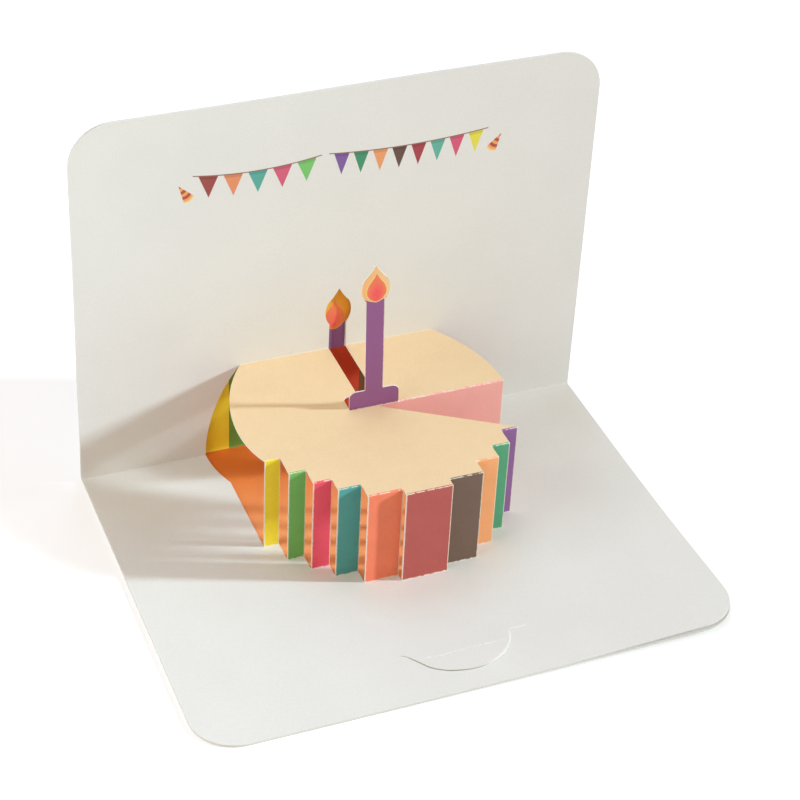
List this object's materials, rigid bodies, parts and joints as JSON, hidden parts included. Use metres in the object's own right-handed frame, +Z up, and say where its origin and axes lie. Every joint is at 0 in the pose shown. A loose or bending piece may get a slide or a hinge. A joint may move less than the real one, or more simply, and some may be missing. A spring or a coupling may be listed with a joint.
{
  "type": "pop up card",
  "caption": "Folded card standing open at a right angle, with a cut paper cake, slice and candle that rise from its fold.",
  "frame": {"origin": "middle of the card's footprint, on the surface it rests on", "axes": "+X along the fold to the right, -Y towards the free edge of the base panel, +Z up the back panel"},
  "size_m": [0.15, 0.1148, 0.1138],
  "materials": {
    "printed_paper": "matt",
    "card_stock": "matt"
  },
  "bodies": {
    "root": {"inner_sheet": "printed_paper", "outer_card": "card_stock"}
  },
  "joints": []
}
